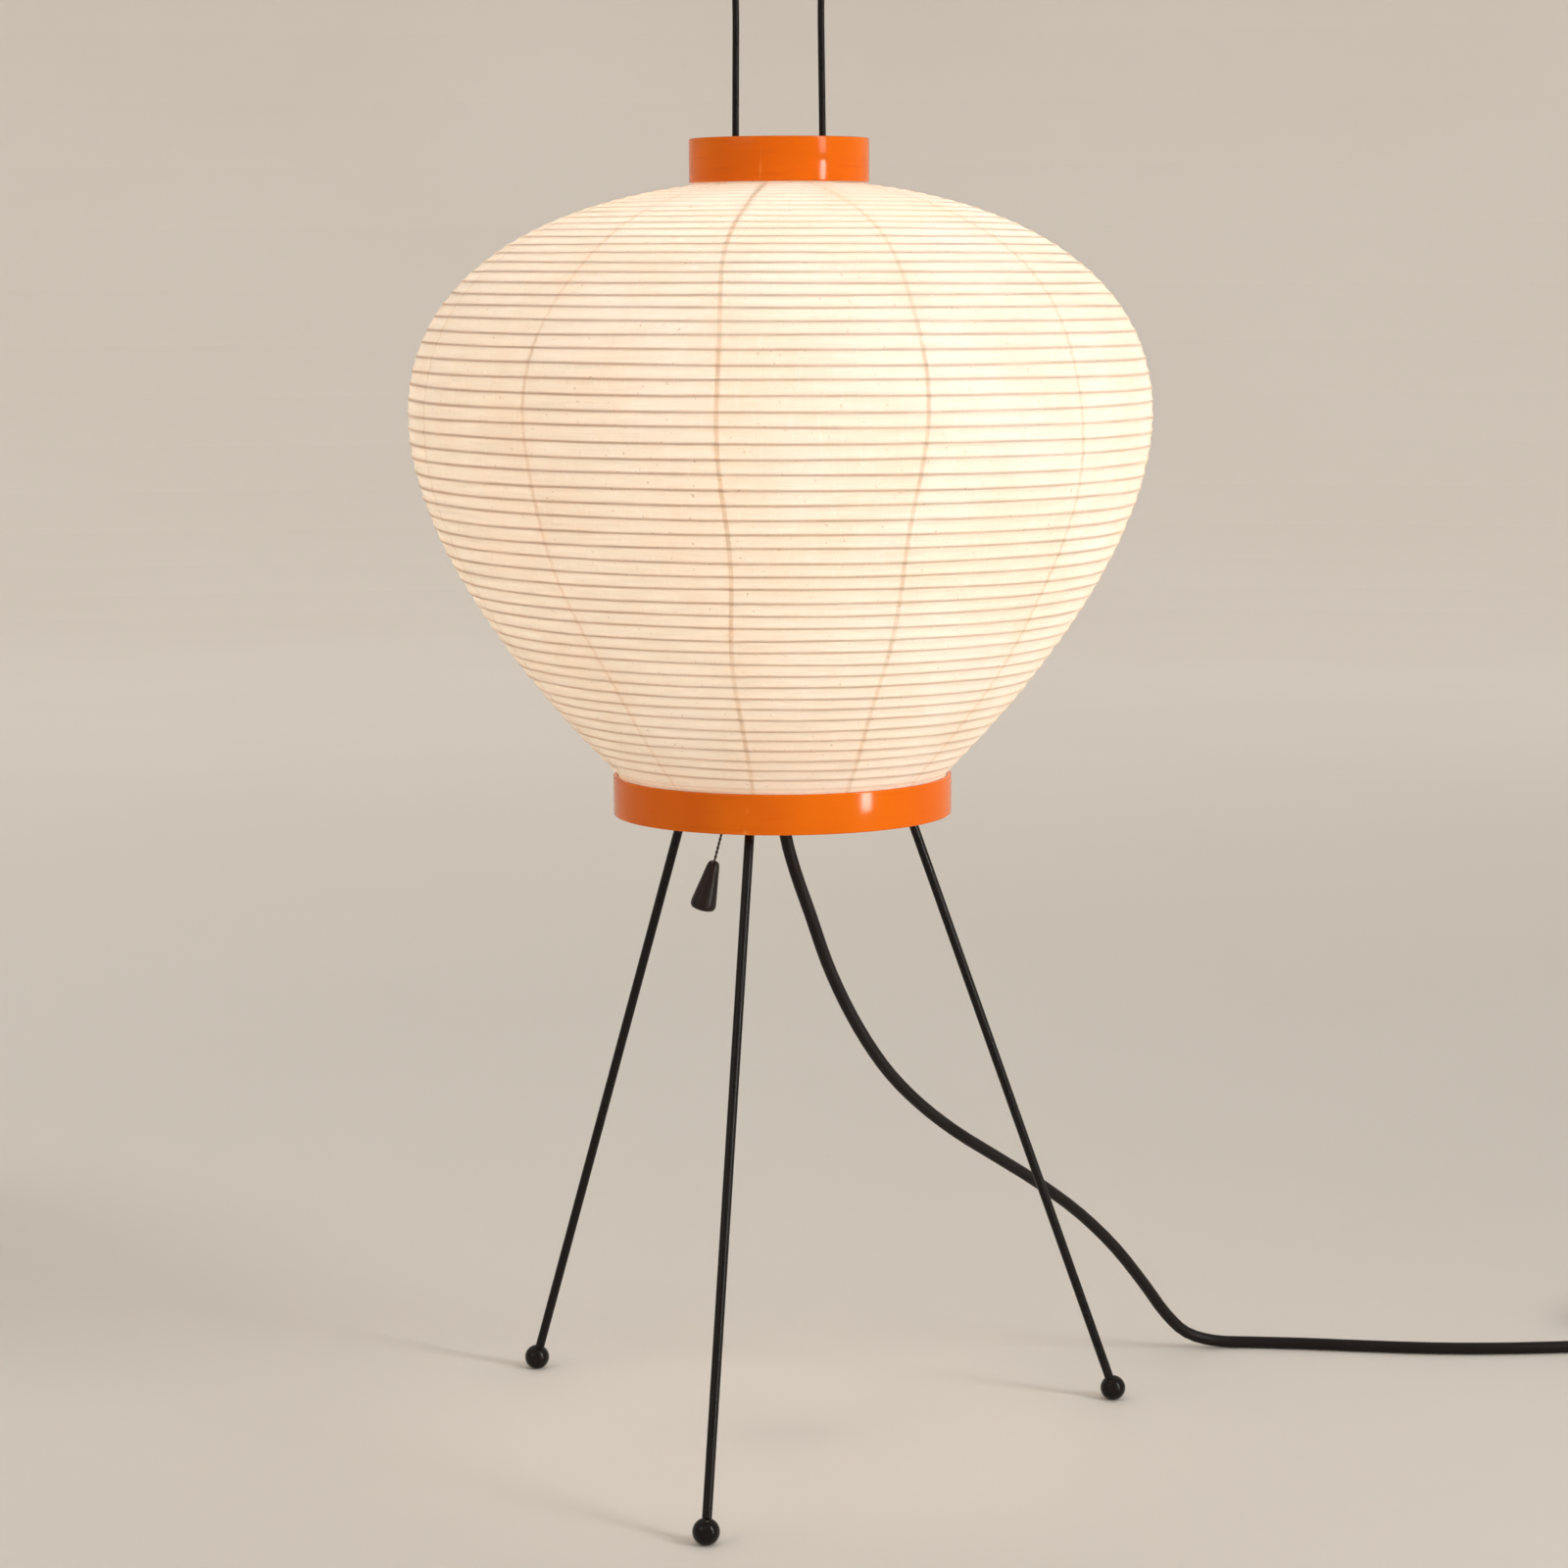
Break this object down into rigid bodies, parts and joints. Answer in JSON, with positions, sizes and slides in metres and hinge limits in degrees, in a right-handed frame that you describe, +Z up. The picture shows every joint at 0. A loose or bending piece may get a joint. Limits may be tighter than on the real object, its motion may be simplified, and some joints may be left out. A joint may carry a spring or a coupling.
{
  "type": "paper lantern table lamp",
  "caption": "Heart-shaped ribbed paper lantern shade with orange end rings, hung on a wire harp over a slim black rod tripod with ball feet, pull switch and power cord.",
  "frame": {"origin": "on the surface the lamp stands on, under the lamp's axis", "axes": "+Z up along the lamp's axis; one leg points to -Y, the other two to 30 and 150 degrees from +X; the harp lies in the XZ plane"},
  "size_m": [0.5224, 0.4826, 0.591],
  "materials": {
    "washi_paper": "thin cream mulberry paper, matt, fine fibres",
    "bamboo": "split bamboo strip, matt",
    "orange_lacquer": "glossy orange lacquer",
    "black_paint": "satin black paint",
    "black_ball": "satin black paint",
    "steel": "plain steel",
    "nickel": "nickel plate",
    "brass": "drawn brass",
    "black_plastic": "moulded black",
    "pull_knob_black": "turned, satin black",
    "black_rubber": "moulded soft black",
    "black_cord": "smooth black cable sheath",
    "black_string": "twisted black string",
    "cord_tie_black": "black tie",
    "plug_black": "moulded black",
    "ceramic": "white glazed insulator",
    "card_liner": "brown card sleeve",
    "opal_glass": "opal white"
  },
  "bodies": {
    "stand": {"paper_shade": "washi_paper", "bamboo_spiral_rib": "bamboo", "top_ring": "orange_lacquer", "shade_bridge": "black_paint", "harp_stop_left": "black_paint", "harp_stop_right": "black_paint", "harp_wire": "black_paint", "leg_front": "black_paint", "leg_right": "black_paint", "leg_left": "black_paint", "foot_front": "black_ball", "foot_right": "black_ball", "foot_left": "black_ball", "stand_hub": "black_paint", "grub_screw_leg_front": "steel", "grub_screw_leg_right": "steel", "grub_screw_leg_left": "steel", "grub_screw_harp_right": "steel", "grub_screw_harp_left": "steel", "threaded_nipple": "brass", "hub_nut": "brass", "socket_nut": "brass", "socket_cap": "black_plastic", "socket_shell": "black_plastic", "socket_insulator": "ceramic", "socket_contact": "brass", "socket_liner": "card_liner", "screw_shell": "brass", "bulb_glass": "opal_glass", "bulb_base": "steel", "switch_cover": "black_plastic", "switch_cover_screw": "steel", "switch_body": "black_plastic", "pull_eyelet": "brass", "strain_relief": "black_rubber", "inner_lead": "black_cord", "power_cord": "black_cord", "power_cord_tail": "black_cord", "cord_coil": "black_cord", "cord_tie": "cord_tie_black", "plug_body": "plug_black", "plug_pin_left": "nickel", "plug_pin_right": "nickel"},
    "shade_hem": {"bottom_ring": "orange_lacquer"},
    "switch_arm": {"switch_plunger": "brass"},
    "pull_cord": {"pull_string": "black_string", "pull_knob": "pull_knob_black"}
  },
  "joints": [
    {"name": "shade_lift", "type": "slide", "parent": "stand", "child": "shade_hem", "axis": [0, 0, 1], "range_m": [0, 0.195], "deforming": ["paper_shade", "bamboo_spiral_rib"]},
    {"name": "switch_travel", "type": "slide", "parent": "stand", "child": "switch_arm", "axis": [0, 0, -1], "range_m": [0, 0.008], "stiffness_N_per_m": 400},
    {"name": "string_swing", "type": "hinge", "parent": "switch_arm", "child": "pull_cord", "pos_m": [-0.012, 0, 0.28], "axis": [0, 1, 0], "range_deg": [-15, 12]}
  ]
}
